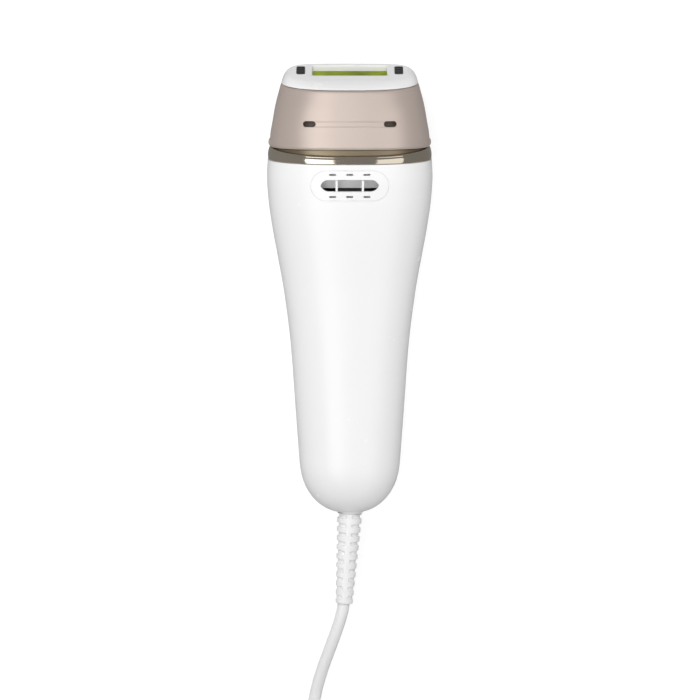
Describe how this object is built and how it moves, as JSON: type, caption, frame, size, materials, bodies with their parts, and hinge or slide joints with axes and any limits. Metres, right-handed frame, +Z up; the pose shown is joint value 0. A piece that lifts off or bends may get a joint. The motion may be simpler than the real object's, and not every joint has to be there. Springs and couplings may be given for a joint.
{
  "type": "ipl hair remover",
  "caption": "Corded light-pulse hair remover: tapered white handset with a vent, a metallic treatment head over a flash lamp, and a mains lead with its plug.",
  "frame": {"origin": "on the surface the handset lies on, under the middle of the handset's length and width", "axes": "+X across the handset, +Y along it towards the treatment window, +Z up out of the vent side; the button side lies down"},
  "size_m": [0.1001, 0.409, 0.048],
  "materials": {
    "shell_white": "glossy white moulded shell",
    "cap_champagne": "satin champagne metallic lacquer",
    "ring_metal": "bright champagne plating",
    "collar_gold": "dark gold satin lacquer",
    "latch_brown": "dark brown satin plastic",
    "filter_glass": "yellow-green cut-off filter glass",
    "sensor_dark": "dark smoked window",
    "quartz": "clear quartz",
    "black_plastic": "matte black engineering plastic",
    "mirror_metal": "polished aluminium",
    "steel": "plated steel",
    "silicone": "white silicone",
    "aluminium": "extruded, plain",
    "contact_gold": "gold plated",
    "board_green": "green circuit board",
    "capacitor_sleeve": "black shrink sleeve",
    "copper_windings": "enamelled copper windings",
    "light_clear": "clear light pipe",
    "duct_grey": "light grey satin plastic",
    "button_white": "glossy white",
    "cord_white": "satin white soft PVC",
    "tie_black": "black hook-and-loop strap",
    "plug_white": "satin white moulded plug",
    "pin_nickel": "nickel plated brass"
  },
  "bodies": {
    "handset": {"rear_shell": "shell_white", "front_shell": "shell_white", "vent_insert": "shell_white", "trim_ring": "ring_metal", "head_collar": "collar_gold", "latch_tongues": "latch_brown", "chassis": "black_plastic", "lamp_housing": "black_plastic", "reflector": "mirror_metal", "lamp_tube": "quartz", "lamp_electrodes": "steel", "lamp_holders": "silicone", "lamp_glass": "quartz", "heat_sink": "aluminium", "fan_frame": "black_plastic", "air_duct": "duct_grey", "contact_block": "black_plastic", "contact_pins": "contact_gold", "main_board": "board_green", "flash_capacitor": "capacitor_sleeve", "charge_transformer": "copper_windings", "filter_choke": "copper_windings", "trigger_coil": "copper_windings", "power_switch": "black_plastic", "mains_fuse": "steel", "button_board": "board_green", "tact_switches": "steel", "indicator_lights": "light_clear", "button_bezel": "ring_metal", "shell_screws": "steel", "cord_clamp": "black_plastic", "clamp_screws": "steel", "strain_relief": "cord_white", "cord_tube": "cord_white", "cord_coil": "cord_white", "cord_tail": "cord_white", "cord_tie": "tie_black", "plug_body": "plug_white", "plug_pins": "pin_nickel"},
    "head": {"head_cap": "cap_champagne", "window_frame": "shell_white", "filter_glass": "filter_glass", "light_guide": "mirror_metal", "sensor_windows": "sensor_dark", "sensor_board": "board_green"},
    "fan": {"fan_impeller": "black_plastic"},
    "flash_key": {"flash_button": "cap_champagne"},
    "mode_key": {"mode_button": "button_white"}
  },
  "joints": [
    {"name": "head_release", "type": "slide", "parent": "handset", "child": "head", "axis": [0, 1, 0], "range_m": [0, 0.025]},
    {"name": "fan_spin", "type": "hinge", "parent": "handset", "child": "fan", "pos_m": [0, 0.043, 0.03], "axis": [0, 0, 1], "continuous": true},
    {"name": "flash_press", "type": "slide", "parent": "handset", "child": "flash_key", "axis": [0, 0, 1], "range_m": [0, 0.0008], "stiffness_N_per_m": 1900},
    {"name": "mode_press", "type": "slide", "parent": "handset", "child": "mode_key", "axis": [0, 0, 1], "range_m": [0, 0.0005], "stiffness_N_per_m": 1900}
  ]
}
